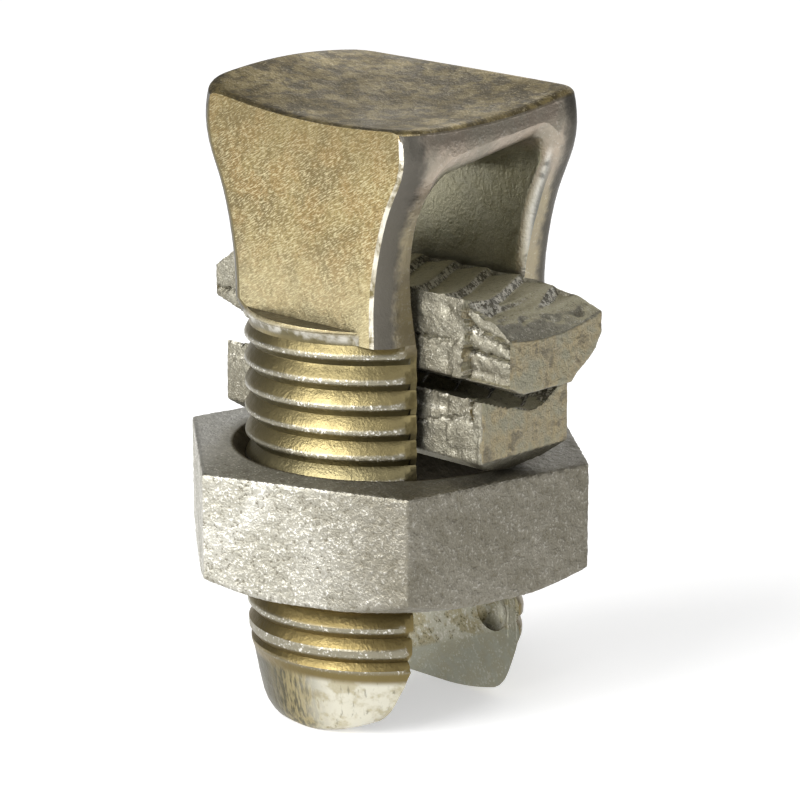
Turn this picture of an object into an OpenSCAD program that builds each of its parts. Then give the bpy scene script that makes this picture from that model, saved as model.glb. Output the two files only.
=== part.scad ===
// Split bolt connector: a slotted bolt, two clamping bars and a nut that press wires together.
// +Z is the bolt's axis, from the leg ends to the crown. The wire slot runs along X.
// The origin is on the bolt's axis, in the plane of the leg ends.

/* [Thread] */
// Outside diameter of the thread
thread_d = 14.29; // [13.5:0.01:15]
// Distance from one thread ridge to the next
thread_pitch = 1.27; // [1.1:0.01:1.6]
// Height of a thread ridge
thread_depth = 0.7; // [0.5:0.01:0.8]
// Width of a ridge's flat crest
crest_w = 0.16; // [0.1:0.01:0.3]

/* [Split bolt legs] */
// Height of the round legs, up to the crown
leg_h = 21.3; // [20.5:0.05:22]
// Height of the tapered leg ends
tip_h = 3.4; // [2.5:0.1:4]
// Diameter of the leg ends at the bottom
tip_d = 11.4; // [9.4:0.1:12]
// Height of the plain neck between the last ridge and the crown
neck_h = 0.35; // [0.2:0.05:1]
// Width of the wire slot between the legs
slot_w = 7.9; // [7.7:0.05:8.3]

/* [Split bolt crown] */
// Height from the leg ends to the top of the crown
bolt_h = 33; // [32.5:0.1:35]
// Distance between the crown's two ground flats
flats_w = 11.86; // [11.2:0.02:12.1]
// Width of the forged crown before its flats were ground
crown_w = 12.2; // [12.16:0.02:12.8]
// Length of the crown along the slot where it meets the legs
waist_l = 11.2; // [10.8:0.1:12]
// Length of the crown along the slot at its flared top
crown_l = 14.8; // [14:0.1:16]
// Radius of the concave sweep from the waist to the flared top
sweep_r = 18; // [16:0.5:24]
// Radius of the crown's outer edges
crown_edge_r = 1.9; // [1.2:0.1:2.4]
// Radius of the flared top's two ends
flare_r = 2.4; // [1.5:0.1:3]
// Lowest point of the slot's roof, above the leg ends
roof_z = 28.6; // [28:0.1:29.2]
// Radius of the roof along the slot, so that its two mouths open upwards
roof_r = 37; // [25:1:60]
// Radius of the slot's corners under the roof
roof_corner_r = 1; // [0.5:0.1:2]
// Length of the bevel on the slot's upright edges, along the slot
mouth_bevel_l = 1.1; // [0.5:0.1:1.5]
// Depth of that bevel, across the slot
mouth_bevel_w = 0.35; // [0.2:0.05:0.6]
// Radius of the shallow hollow pressed into the crown's top
hollow_r = 50; // [40:1:70]
// Depth of the hollow below the top of the crown
hollow_depth = 1.85; // [1.4:0.05:2.2]
// Place of the hollow's lowest point along the slot
hollow_x = 4.5; // [2:0.1:6]
// Place of the hollow's lowest point across the slot
hollow_y = -6; // [-7:0.1:-4]

/* [Stake mark] */
// Radius of the punch that staked the leg
punch_r = 1.9; // [1.5:0.1:2.5]
// Depth of the stake mark
stake_depth = 0.5; // [0.2:0.05:0.7]
// Place of the stake mark along the slot
stake_x = 3.7; // [2.5:0.1:4]
// Height of the stake mark above the leg ends
stake_z = 4.7; // [4:0.1:5.5]

/* [Hex nut] */
// Width across the nut's flats
nut_flats_w = 19.05; // [18.5:0.05:20]
// Height of the nut
nut_h = 6.15; // [5.5:0.05:7]
// Height of the nut's lower face above the leg ends
nut_z = 7.85; // [7:0.05:8.5]
// Angle to which the nut is turned, in degrees
nut_turn = -39.6; // [-60:0.1:60]
// Diameter of the flat inside the chamfer under the nut
nut_land_d = 19; // [17.5:0.1:19]
// Slope of the chamfer under the nut, in degrees
nut_chamfer = 30; // [20:1:35]
// Diameter of the rounded corners
nut_corner_d = 21.9; // [21:0.1:22]
// Diameter of the countersunk mouths
nut_mouth_d = 15.9; // [15.2:0.05:16.5]
// Running clearance round the thread, on the radius
thread_gap = 0.05; // [0.02:0.01:0.1]

/* [Pressure bar] */
// Reach of the pressure bar from the bolt's axis, towards +X
press_reach = 9.6; // [9.4:0.1:11]
// Reach towards -X
press_back = 8.5; // [8.1:0.1:9]
// Width of the pressure bar
press_w = 6.2; // [5.8:0.05:7.1]
// Height of the straight sides
press_side_h = 3.05; // [2.5:0.05:3.3]
// Depth of the rounded belly that bears on the nut
press_belly = 1.2; // [0.8:0.05:1.5]
// Depth of the cradle along the top
press_cradle = 1; // [0.6:0.05:1.2]

/* [Spacer bar] */
// Reach of the spacer bar from the bolt's axis, towards +X
spacer_reach = 11.5; // [11:0.1:12.5]
// Reach towards -X
spacer_back = 8.9; // [8.1:0.1:9.5]
// Width of the spacer bar
spacer_w = 6.7; // [6.2:0.05:7.1]
// Height of the straight sides
spacer_side_h = 3.5; // [3:0.05:3.8]
// Depth of the rounded belly that lies in the pressure bar's cradle
spacer_belly = 2.45; // [2:0.05:2.6]
// Depth of the cradle along the top
spacer_cradle = 0.5; // [0.3:0.05:0.8]
// Length of the sloping nose at the +X end
nose_l = 2.1; // [1.5:0.1:2.5]
// Drop of the sloping nose
nose_drop = 1.6; // [1:0.1:1.8]
// Rise of the belly under the nose
nose_rise = 1.5; // [1:0.1:2]

/* [Both bars] */
// Clearance between a bar's ears and the slot, on each side
slot_gap = 0.4; // [0.2:0.05:0.6]
// Length of the ears outside the legs
ear_l = 2.7; // [2:0.1:3]
// Clearance between the ears and the legs
ear_gap = 0.25; // [0.1:0.05:0.5]
// Gap between a bar and what it rests on
seat_gap = 0.05; // [0.02:0.01:0.1]
// Size of the bevels across a bar's ends
end_bevel = 0.8; // [0.4:0.1:1]
// Distance between two serrations along a bar
serration_pitch = 2.19; // [1.8:0.01:3]
// Depth of a serration
serration_depth = 0.3; // [0.15:0.05:0.4]
// Angle of the serrations across a bar, in degrees
serration_angle = 28; // [0:1:35]

/* [Hidden] */
$fn = 96;
// Room by which a cut passes the surface that it cuts
past = 1;
tin_gold = "#b5a77c";
tin_grey = "#a8a497";
thread_r = thread_d / 2;
root_r = thread_r - thread_depth;
// Half the width of a ridge's flank, for a 60 degree thread
flank_h = thread_depth * tan(30);
ridge_h = 2 * flank_h + crest_w;
ridge_count = floor((leg_h - neck_h - tip_h - ridge_h) / thread_pitch) + 1;
sweep_x = waist_l / 2 + sweep_r;
// Rise of the roof from its middle to a mouth
roof_rise = pow(crown_l / 2, 2) / (2 * roof_r);
// The slot's arch stands above that rise by as much as keeps its corners round at the mouths
slot_top_z = roof_z + roof_rise + roof_corner_r * (1 - cos(45));
nut_top_z = nut_z + nut_h;
press_side_z = nut_top_z + seat_gap + press_belly;
press_top_z = press_side_z + press_side_h;
spacer_side_z = press_top_z - press_cradle + seat_gap + spacer_belly;
spacer_top_z = spacer_side_z + spacer_side_h;
ear_w = slot_w - 2 * slot_gap;
ear_x = sqrt(pow(thread_r, 2) - pow(slot_w / 2, 2)) + ear_gap;
// A serration is cut by a rim twice as high as its depth, with one steep and one long flank
rim_h = 2 * serration_depth;
steep_flank = serration_depth;
long_flank = 3 * serration_depth;

// Radius of an arc from its chord and its rise
function arc_r(chord, rise) = (chord * chord / 4 + rise * rise) / (2 * rise);

// One thread ridge's corners, as radius and height
function ridge(z) = [
    [root_r, z],
    [thread_r, z + flank_h],
    [thread_r, z + flank_h + crest_w],
    [root_r, z + ridge_h]
];

// Stands a drawing of width and height up, and extrudes it along X from one place to another
module along_x(from, to) {
    translate([from, 0, 0]) rotate([90, 0, 90]) linear_extrude(to - from) children();
}

// Stands a drawing of length and height up, and extrudes it across the slot
module across(width) {
    translate([0, width / 2, 0]) rotate([90, 0, 0]) linear_extrude(width) children();
}

// A rectangle from z = low to z = high whose two upper corners are rounded
module arched(width, low, high, radius) {
    translate([-width / 2, low]) square([width, high - low - radius]);
    translate([-width / 2 + radius, low]) square([width - 2 * radius, high - low]);
    for (side = [-1, 1])
        translate([side * (width / 2 - radius), high - radius]) circle(radius);
}

// The round stock of both legs, with its ridges and tapered end
module threaded_stock() {
    ridges = [for (i = [0:ridge_count - 1]) each ridge(tip_h + i * thread_pitch)];
    rotate_extrude() polygon(concat(
        [[0, 0], [tip_d / 2, 0]],
        ridges,
        [[root_r, leg_h + past], [0, leg_h + past]]
    ));
}

// All that lies inside one concave sweep, with the forging's rounded edges along it
module inside_sweep(side) {
    far_r = sweep_x + crown_l;
    translate([side * sweep_x, 0, leg_h]) rotate([90, 0, 0]) rotate_extrude() {
        translate([sweep_r, -crown_w / 2 + crown_edge_r])
            square([far_r - sweep_r, crown_w - 2 * crown_edge_r]);
        translate([sweep_r + crown_edge_r, -crown_w / 2])
            square([far_r - sweep_r - crown_edge_r, crown_w]);
        for (y = [-1, 1])
            translate([sweep_r + crown_edge_r, y * (crown_w / 2 - crown_edge_r)]) circle(crown_edge_r);
    }
}

// The forged crown before the slot is cut
module crown_blank() {
    intersection() {
        along_x(-crown_l, crown_l) intersection() {
            arched(crown_w, leg_h, bolt_h, crown_edge_r);
            translate([-flats_w / 2, leg_h]) square([flats_w, bolt_h]);
        }
        across(crown_w) arched(crown_l, leg_h, bolt_h, flare_r);
        inside_sweep(1);
        inside_sweep(-1);
    }
}

// The slot, open at the leg ends, under a roof that rises towards both mouths
module wire_slot() {
    difference() {
        along_x(-crown_l, crown_l) arched(slot_w, -past, slot_top_z, roof_corner_r);
        translate([0, 0, roof_z + roof_r]) rotate([90, 0, 0])
            cylinder(r = roof_r, h = slot_w + 2 * past, center = true, $fn = 240);
    }
}

// The bevels on the slot's upright edges, which follow the crown's sweep
module mouth_bevels() {
    intersection() {
        for (side = [-1, 1])
            translate([side * sweep_x, 0, leg_h]) rotate([90, 0, 0]) rotate_extrude($fn = 240)
                for (y = [-1, 1])
                    polygon([
                        [sweep_r - past, y * (slot_w / 2 - past)],
                        [sweep_r + mouth_bevel_l, y * (slot_w / 2 - past)],
                        [sweep_r + mouth_bevel_l, y * slot_w / 2],
                        [sweep_r, y * (slot_w / 2 + mouth_bevel_w)],
                        [sweep_r - past, y * (slot_w / 2 + mouth_bevel_w)]
                    ]);
        translate([-crown_l, -slot_w, leg_h])
            cube([2 * crown_l, 2 * slot_w, roof_z - leg_h]);
    }
}

module split_bolt() {
    color(tin_gold) difference() {
        union() {
            threaded_stock();
            crown_blank();
        }
        wire_slot();
        mouth_bevels();
        translate([hollow_x, hollow_y, bolt_h - hollow_depth + hollow_r]) sphere(hollow_r, $fn = 240);
        translate([stake_x, slot_w / 2 - punch_r + stake_depth, stake_z]) sphere(punch_r);
    }
}

module hex_nut() {
    bore_r = thread_r + thread_gap;
    mouth_h = nut_mouth_d / 2 - bore_r;
    corner_r = nut_flats_w / 2 / cos(30);
    chamfer_h = (nut_corner_d - nut_land_d) / 2 * tan(nut_chamfer);
    color(tin_grey) translate([0, 0, nut_z]) difference() {
        intersection() {
            rotate([0, 0, nut_turn]) cylinder(r = corner_r, h = nut_h, $fn = 6);
            union() {
                cylinder(d1 = nut_land_d, d2 = nut_corner_d, h = chamfer_h);
                translate([0, 0, chamfer_h]) cylinder(d = nut_corner_d, h = nut_h - chamfer_h);
            }
        }
        translate([0, 0, -past]) cylinder(r = bore_r, h = nut_h + 2 * past);
        translate([0, 0, nut_h - mouth_h])
            cylinder(r1 = bore_r, r2 = bore_r + mouth_h + past, h = mouth_h + past);
        translate([0, 0, -past])
            cylinder(r1 = bore_r + mouth_h + past, r2 = bore_r, h = mouth_h + past);
    }
}

// A bar's cross section: straight sides, a rounded belly below and a hollow cradle above
module bar_section(width, side_z, side_h, belly, cradle) {
    belly_r = arc_r(width, belly);
    cradle_r = arc_r(width, cradle);
    difference() {
        union() {
            translate([-width / 2, side_z]) square([width, side_h]);
            intersection() {
                translate([0, side_z - belly + belly_r]) circle(belly_r);
                translate([-width / 2, side_z - belly]) square([width, belly + side_h / 2]);
            }
        }
        translate([0, side_z + side_h - cradle + cradle_r]) circle(cradle_r);
    }
}

// Blocks outside the legs, a little wider than the bar and still narrower than the slot
module ears(side_z, ear_h, back) {
    back_l = back - end_bevel - ear_x;
    translate([ear_x, -ear_w / 2, side_z]) cube([ear_l, ear_w, ear_h]);
    translate([-ear_x - back_l, -ear_w / 2, side_z]) cube([back_l, ear_w, ear_h]);
}

// Shallow V cuts across a bar's cradle, made by a wheel that is as round as the cradle
module serrations(width, from, to, cradle_z, cradle) {
    wheel_r = arc_r(width, cradle) / pow(cos(serration_angle), 2);
    count = floor((to - from) / serration_pitch) + 1;
    for (i = [0:count - 1])
        translate([from + i * serration_pitch, 0, cradle_z - serration_depth + wheel_r])
            rotate([90, 0, 90 + serration_angle]) rotate_extrude($fn = 240) polygon([
                [wheel_r - rim_h, -long_flank],
                [wheel_r, 0],
                [wheel_r - rim_h, steep_flank]
            ]);
}

module pressure_bar() {
    low_z = press_side_z - press_belly;
    color(tin_grey) difference() {
        intersection() {
            union() {
                along_x(-press_back, press_reach)
                    bar_section(press_w, press_side_z, press_side_h, press_belly, press_cradle);
                ears(press_side_z, press_side_h - press_cradle, press_back);
            }
            across(slot_w) polygon([
                [-press_back, low_z],
                [press_reach - end_bevel, low_z],
                [press_reach, low_z + press_belly],
                [press_reach, press_top_z],
                [end_bevel - press_back, press_top_z],
                [-press_back, press_top_z - end_bevel]
            ]);
        }
        serrations(press_w, serration_pitch - press_back, press_reach - end_bevel,
            press_top_z - press_cradle, press_cradle);
    }
}

module spacer_bar() {
    low_z = spacer_side_z - spacer_belly;
    color(tin_grey) difference() {
        intersection() {
            union() {
                along_x(-spacer_back, spacer_reach)
                    bar_section(spacer_w, spacer_side_z, spacer_side_h, spacer_belly, spacer_cradle);
                ears(spacer_side_z, spacer_side_h - spacer_cradle, spacer_back);
            }
            across(slot_w) polygon([
                [-spacer_back, spacer_side_z],
                [end_bevel - spacer_back, low_z],
                [spacer_reach - nose_l, low_z],
                [spacer_reach, low_z + nose_rise],
                [spacer_reach, spacer_top_z - nose_drop],
                [spacer_reach - nose_l, spacer_top_z],
                [end_bevel - spacer_back, spacer_top_z],
                [-spacer_back, spacer_top_z - end_bevel]
            ]);
        }
        serrations(spacer_w, serration_pitch - spacer_back, spacer_reach - nose_l,
            spacer_top_z - spacer_cradle, spacer_cradle);
    }
}

split_bolt();
hex_nut();
pressure_bar();
spacer_bar();
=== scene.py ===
import math

import bpy
import numpy as np
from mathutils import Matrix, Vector


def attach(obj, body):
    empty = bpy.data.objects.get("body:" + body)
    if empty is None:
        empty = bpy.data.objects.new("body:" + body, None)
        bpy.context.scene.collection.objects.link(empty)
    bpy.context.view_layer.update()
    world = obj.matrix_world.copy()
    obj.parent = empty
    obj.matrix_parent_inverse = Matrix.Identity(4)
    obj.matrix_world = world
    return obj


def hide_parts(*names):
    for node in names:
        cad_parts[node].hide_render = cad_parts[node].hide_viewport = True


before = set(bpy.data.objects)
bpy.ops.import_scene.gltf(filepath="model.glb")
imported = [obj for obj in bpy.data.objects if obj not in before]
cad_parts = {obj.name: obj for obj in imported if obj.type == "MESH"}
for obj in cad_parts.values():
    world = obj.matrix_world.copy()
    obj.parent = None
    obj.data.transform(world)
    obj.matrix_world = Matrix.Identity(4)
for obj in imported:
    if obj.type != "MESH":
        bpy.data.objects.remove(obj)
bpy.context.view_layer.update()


# Split bolt: threaded legs
# The two legs are one round stock of tinned copper alloy with a rolled right-hand thread.
# It is modelled in millimetres, like every piece here, and brought to metres when it is done.
thread_r = 7.145
root_r = 6.72
pitch = 1.27
thread_start_z = -3.175
thread_turns = 21
thread_segments = 144
# Points closer than this are one point, and a place within the slack of a face is on it
weld, slack = 1e-4, 0.01
# One turn of the thread's outline from root to root, as steps outwards and upwards
thread_steps = [
    (0.02, 0.02), (0.34, 0.35), (0.05, 0.05), (0.015, 0.06), (0, 0.07), (-0.015, 0.07), (-0.03, 0.07),
    (-0.05, 0.10), (-0.07, 0.12), (-0.09, 0.14), (-0.095, 0.13), (-0.075, 0.09),
]
# Radius of the plain leg ends by height, up to where the thread begins, and the least that it may have there
tip_heights = [0, 0.15, 0.5, 1.0, 1.9, 3.2, 3.9]
tip_radii = [5.45, 5.72, 5.98, 6.18, 6.42, 6.72, 6.98]
tip_floor_radii = [5.45, 5.72, 5.98, 6.18, 6.42, 6.70, 6.72]
# Where the thread begins, and the radius of its crests from there up
thread_low_z = 3.9
crest_heights, crest_radii = [3.9, 5.0, 6.5], [6.98, 7.08, thread_r]
# Radius of the thread's root by height where it runs out under the crown
run_out_heights = [19.2, 20.3, 21.1]
run_out_radii = [6.72, 6.84, 7.08]
ledge_z = 21.27
# Rise of the leg ends off the ground, per square millimetre along the slot, and the height where it ends
tip_rise_near, tip_rise_far = 0.06, 0.036
tip_bend_h = 3
# Radius of the worn crests beside the slot, how far from the middle they begin to rise, and over what width
edge_r, edge_y, edge_fade = 6.76, 3.75, 0.8
# Shares to which an end face is drawn in, ring by ring
face_scales = [0.88, 0.76, 0.64, 0.52, 0.40, 0.28, 0.16]


def begin():
    """Leaves edit mode and selects nothing, so that the next operator acts on new geometry alone."""
    if bpy.context.object and bpy.context.object.mode != "OBJECT":
        bpy.ops.object.mode_set(mode="OBJECT")
    bpy.ops.object.select_all(action="DESELECT")


def edit():
    """Enters edit mode with every point selected."""
    bpy.ops.object.mode_set(mode="EDIT")
    bpy.ops.mesh.select_mode(type="VERT")
    bpy.ops.mesh.select_all(action="SELECT")


def done(name):
    """Leaves edit mode with outward faces, and names the piece."""
    bpy.ops.mesh.select_all(action="SELECT")
    bpy.ops.mesh.normals_make_consistent(inside=False)
    bpy.ops.object.mode_set(mode="OBJECT")
    piece = bpy.context.object
    piece.name = piece.data.name = name
    return piece


def finish_with(piece, kind, **settings):
    """Puts a modifier on a piece and applies it."""
    bpy.context.view_layer.objects.active = piece
    modifier = piece.modifiers.new(kind, kind)
    for key, value in settings.items():
        setattr(modifier, key, value)
    bpy.ops.object.modifier_apply(modifier=modifier.name)


def cut(piece, tool, operation="DIFFERENCE"):
    """Cuts, joins or trims a piece with a tool, which is used up."""
    finish_with(piece, "BOOLEAN", operation=operation, solver="EXACT", object=tool)
    bpy.data.objects.remove(tool)


def reshape(piece, rule):
    """Moves each point of a piece to where a rule of its place and normal says."""
    place = np.empty(len(piece.data.vertices) * 3, np.float32)
    normal = np.empty_like(place)
    piece.data.vertices.foreach_get("co", place)
    piece.data.vertices.foreach_get("normal", normal)
    moved = rule(place.reshape(-1, 3).astype(float), normal.reshape(-1, 3).astype(float))
    piece.data.vertices.foreach_set("co", moved.astype(np.float32).ravel())
    piece.data.update()


def outline(first, steps):
    """A chain of edges in the XZ plane, drawn from one point by its steps."""
    begin()
    bpy.ops.mesh.primitive_plane_add(size=1)
    edit()
    bpy.ops.mesh.merge(type="CENTER")
    bpy.ops.transform.translate(value=(first[0], 0, first[1]))
    for out, up in steps:
        bpy.ops.mesh.extrude_vertices_move(TRANSFORM_OT_translate={"value": (out, 0, up)})


def trim(z, normal_z):
    """Cuts a piece in edit mode off at one height and closes the cut."""
    bpy.ops.mesh.select_all(action="SELECT")
    bpy.ops.mesh.bisect(plane_co=(0, 0, z), plane_no=(0, 0, normal_z), clear_outer=True, use_fill=True)


def threaded_stock(name, extra_r, low_z, high_z):
    """A rod with the bolt's thread, from one height to another."""
    outline((root_r + extra_r, thread_start_z), thread_steps)
    bpy.ops.object.mode_set(mode="OBJECT")
    finish_with(bpy.context.object, "SCREW", axis="Z", angle=math.tau, screw_offset=pitch,
                iterations=thread_turns, steps=thread_segments, render_steps=thread_segments)
    edit()
    bpy.ops.mesh.remove_doubles(threshold=weld)
    trim(low_z, -1)
    trim(high_z, 1)
    return done(name)


def leg_shape(place, normal):
    """Tapers the leg ends, runs the thread out under the crown and wears its crests beside the slot."""
    x, y, z = place.T
    r = np.hypot(x, y)
    on_tip = z < thread_low_z
    root = np.interp(z, run_out_heights, run_out_radii)
    low = np.where(on_tip, np.interp(z, tip_heights, tip_floor_radii), root)
    crests = np.interp(z, crest_heights, crest_radii)
    high = np.where(on_tip, np.interp(z, tip_heights, tip_radii), crests)
    worn = edge_r + np.clip((np.abs(y) - edge_y) / edge_fade, 0, 1) * (thread_r - edge_r)
    high = np.where(z > thread_low_z, np.minimum(high, worn), high)
    scale = np.clip(r, np.minimum(low, high), high) / r
    return np.column_stack((x * scale, y * scale, z))


def leg_lift(place, normal):
    """Lifts the leg ends off the ground towards +X."""
    x, y, z = place.T
    rise = np.where(y < 0, tip_rise_near, tip_rise_far) * np.clip(x, 0, None) ** 2
    return np.column_stack((x, y, z + rise * np.clip(1 - z / tip_bend_h, 0, 1)))


def ring_in(z):
    """Draws the selected end face in towards the axis ring by ring, so that it can be dished."""
    last_scale = 1
    for scale in face_scales:
        bpy.ops.mesh.extrude_region_move()
        bpy.ops.transform.resize(value=(scale / last_scale, scale / last_scale, 1), center_override=(0, 0, z))
        last_scale = scale
    bpy.ops.mesh.poke()


bolt_tin = bpy.data.materials.new("bolt_tin_finish")
bolt_edge = bpy.data.materials.new("bolt_worn_edge_highlight")
bolt = threaded_stock("split_bolt_finish", 0, 0, ledge_z)
bolt.data.materials.append(bolt_tin)
bolt.data.materials.append(bolt_edge)
reshape(bolt, leg_shape)
edit()
bpy.ops.mesh.select_mode(type="FACE")
bpy.ops.mesh.select_all(action="DESELECT")
bpy.ops.object.mode_set(mode="OBJECT")
for face in bolt.data.polygons:
    face.select = face.center.z < slack and face.normal.z < -0.9
bpy.ops.object.mode_set(mode="EDIT")
ring_in(0)
bolt = done("split_bolt_finish")
reshape(bolt, leg_lift)


# Split bolt: crown, slot and stake mark
# The crown is forged on the same stock: it flares towards the top, its two sides are ground flat,
# and its top is dished by the die. The slot is sawn through crown and legs, and one leg is staked.
crown_foot_z = 20.6
crown_half_w = 6.1
crown_nominal_top = 32.5
# Radii of its upright corners: on the near side towards -X and towards +X, and on the far side
near_corner_r, near_front_r, far_corner_r = 1.9, 1.45, 0.75
corner_segments, side_cuts, straight_side_l = 8, 23, 3
# Half the crown's length by height
crown_lengths = [
    (20.6, 5.7), (21.6, 5.66), (22.6, 5.67), (23.6, 5.75), (24.6, 5.91), (25.5, 6.1), (26.3, 6.31),
    (27.0, 6.54), (27.6, 6.78), (28.2, 7.05), (28.8, 7.31), (29.4, 7.53), (30.0, 7.67), (30.6, 7.73),
    (31.2, 7.70), (31.7, 7.62), (32.0, 7.54),
]
# The rounded rim above them, as heights and how far it draws in
rim_steps = [
    (32.112, 0.014), (32.219, 0.057), (32.315, 0.125), (32.394, 0.215), (32.453, 0.323), (32.489, 0.444),
    (32.5, 0.56),
]
# Height of the finished top at its corners, edges and middle, from -X to +X and from -Y to +Y
top_xs, top_ys = [-7, 0, 7], [-5.9, 0, 5.9]
top_heights = [[32.15, 32.85, 32.5], [31.35, 31.7, 32.5], [31.6, 31.55, 32.4]]
warp_from_z = 28
# Share by which the foot of the -X end draws in towards the legs
foot_tuck = 0.06
flat_y = 5.93
slot_half_w, slot_reach, slot_low_z = 3.95, 9.5, -1
roof_z, roof_corner_r, roof_segments = 28.6, 1.0, 7
# The roof's arch: its radius, its tilt, and the height where it begins and over which it grows
roof_r, roof_tilt = 25.2, 0.19
arch_low_z, arch_h = 26.9, 1.7
# One side of the roof sags near each mouth, more and more from this far off the middle
sag_rate, sag_from_y = 0.14, 2.2
# The mouths: where they lie, how far inside them they begin to follow the flare, and over what length
mouth_x = 7.3
flare_start, flare_l = 3, 2
# How long and wide they are rounded, up to how many lengths, and the height where the rounding is whole
mouth_round_l, mouth_round_w, mouth_round_most = 0.75, 0.5, 1.4
mouth_full_z = 26.5
# How far the near leg narrows the slot, and the share of it by height
near_leg_in, near_leg_heights, near_leg_shares = 0.33, (3.5, 9.0, 20.2, 24.6), (0, 1, 1, 0)
# The punch that staked the far leg
punch_r = 1.9
punch_place = (3.75, 2.4, 4.75)
# Widths of the worn edges beside the two flats, and how far below the rim they end
near_bevel_w, far_bevel_w, rim_clear = 0.13, 0.04, 0.45
bevel_low_z = ledge_z - 0.2
# Where crown and slot are divided along X, and where the slot is divided more closely, at its mouths
even_cuts = list(range(-6, 7))
mouth_cuts = [side * (6.4 + 0.1 * i) for i in range(14) for side in (-1, 1)]
# How far each leg is spread at its end, and the height below which it is
leg_spread, spread_top_z = 0.3, 5.0


def pick_points(piece, rule):
    """Selects, in edit mode, the points whose place fits a rule."""
    bpy.ops.mesh.select_all(action="DESELECT")
    bpy.ops.object.mode_set(mode="OBJECT")
    for point in piece.data.vertices:
        point.select = rule(point.co)
    bpy.ops.object.mode_set(mode="EDIT")


def pick_edges(piece, rule):
    """Selects, in edit mode, the edges whose two ends fit a rule."""
    bpy.ops.mesh.select_all(action="DESELECT")
    bpy.ops.mesh.select_mode(type="EDGE")
    bpy.ops.object.mode_set(mode="OBJECT")
    points = piece.data.vertices
    for side in piece.data.edges:
        side.select = rule(points[side.vertices[0]].co, points[side.vertices[1]].co)
    bpy.ops.object.mode_set(mode="EDIT")


def divide(at, axis):
    """Divides a piece in edit mode by planes across one axis."""
    for place in at:
        bpy.ops.mesh.select_all(action="SELECT")
        bpy.ops.mesh.bisect(plane_co=[place * part for part in axis], plane_no=axis)


def top_height(x, y):
    """Height of the crown's top, on a surface through its nine measured heights."""
    def weights(t, at):
        a, b, c = at
        return [(t - b) * (t - c) / ((a - b) * (a - c)), (t - a) * (t - c) / ((b - a) * (b - c)),
                (t - a) * (t - b) / ((c - a) * (c - b))]
    wx, wy = weights(x, top_xs), weights(y, top_ys)
    return sum(top_heights[i][j] * wx[i] * wy[j] for i in range(3) for j in range(3))


def crown_shape(place, normal):
    """Flares the crown, tucks in the foot of its -X end and warps its top."""
    x, y, z = place.T
    heights, lengths = zip(*crown_lengths)
    straight = foot_length - near_corner_r
    spread = np.interp(z, heights, lengths) - foot_length
    x = x + np.sign(x) * spread * np.clip(np.abs(x) / straight, 0, 1)
    tuck = 1 - foot_tuck * np.interp(z, heights[:2], [1, 0]) * np.clip(-x / straight, 0, 1)
    x, y = x * tuck, y * tuck
    share = np.clip((z - warp_from_z) / (crown_nominal_top - warp_from_z), 0, None)
    return np.column_stack((x, y, z + share * (top_height(x, y) - crown_nominal_top)))


def block(low, high):
    """Adds a cube between two corners and stays in edit mode."""
    begin()
    low, high = Vector(low), Vector(high)
    bpy.ops.mesh.primitive_cube_add(size=1, location=(low + high) / 2, scale=high - low)
    bpy.ops.object.transform_apply(location=True, rotation=True, scale=True)
    edit()
    return bpy.context.object


begin()
foot_length = crown_lengths[0][1]
bpy.ops.mesh.primitive_plane_add(size=1, location=(0, 0, crown_foot_z))
crown = bpy.context.object
crown.scale = (2 * foot_length, 2 * crown_half_w, 1)
bpy.ops.object.transform_apply(location=True, rotation=True, scale=True)
edit()
crown_corners = [
    (-1, -1, near_corner_r), (1, -1, near_front_r), (-1, 1, far_corner_r), (1, 1, far_corner_r),
]
for at_x, at_y, corner_r in crown_corners:
    pick_points(crown, lambda co: at_x * co.x > foot_length - slack and at_y * co.y > crown_half_w - slack)
    bpy.ops.mesh.bevel(offset=corner_r, offset_type="OFFSET", segments=corner_segments, affect="VERTICES")
pick_edges(crown, lambda a, b: (a - b).length > straight_side_l)
bpy.ops.mesh.subdivide(number_cuts=side_cuts)
bpy.ops.mesh.select_all(action="SELECT")
bpy.ops.mesh.select_mode(type="FACE")
bpy.ops.mesh.select_all(action="SELECT")
last_z = crown_foot_z
for ring_z, ring_length in crown_lengths[1:]:
    bpy.ops.mesh.extrude_region_move(TRANSFORM_OT_translate={"value": (0, 0, ring_z - last_z)})
    last_z = ring_z
rim_length, rim_half_w = foot_length, crown_half_w
for ring_z, drawn_in in rim_steps:
    bpy.ops.mesh.extrude_region_move(TRANSFORM_OT_translate={"value": (0, 0, ring_z - last_z)})
    new_length, new_half_w = foot_length - drawn_in, crown_half_w - drawn_in
    bpy.ops.transform.resize(value=(new_length / rim_length, new_half_w / rim_half_w, 1),
                             center_override=(0, 0, ring_z))
    last_z, rim_length, rim_half_w = ring_z, new_length, new_half_w
ring_in(last_z)
bpy.ops.mesh.select_all(action="SELECT")
bpy.ops.mesh.normals_make_consistent(inside=False)
bpy.ops.object.mode_set(mode="OBJECT")
reshape(crown, crown_shape)
edit()
for side in (-1, 1):
    bpy.ops.mesh.select_all(action="SELECT")
    bpy.ops.mesh.bisect(plane_co=(0, side * flat_y, 0), plane_no=(0, side, 0),
                        clear_outer=True, use_fill=True)
crown.data.materials.append(bolt_tin)
crown.data.materials.append(bolt_edge)
for side, bevel_w in ((-1, near_bevel_w), (1, far_bevel_w)):
    pick_edges(crown, lambda a, b: min(side * a.y, side * b.y) > flat_y - weld and max(a.z, b.z) > bevel_low_z
               and all(point.z < top_height(point.x, point.y) - rim_clear for point in (a, b)))
    bpy.ops.mesh.bevel(offset=bevel_w, segments=2, affect="EDGES", material=1)
# The flats are split into upright strips, because a cut closes a wide hollow-topped face wrongly
divide(even_cuts, (1, 0, 0))
crown = done("crown_forging")
cut(bolt, crown, "UNION")

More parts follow.
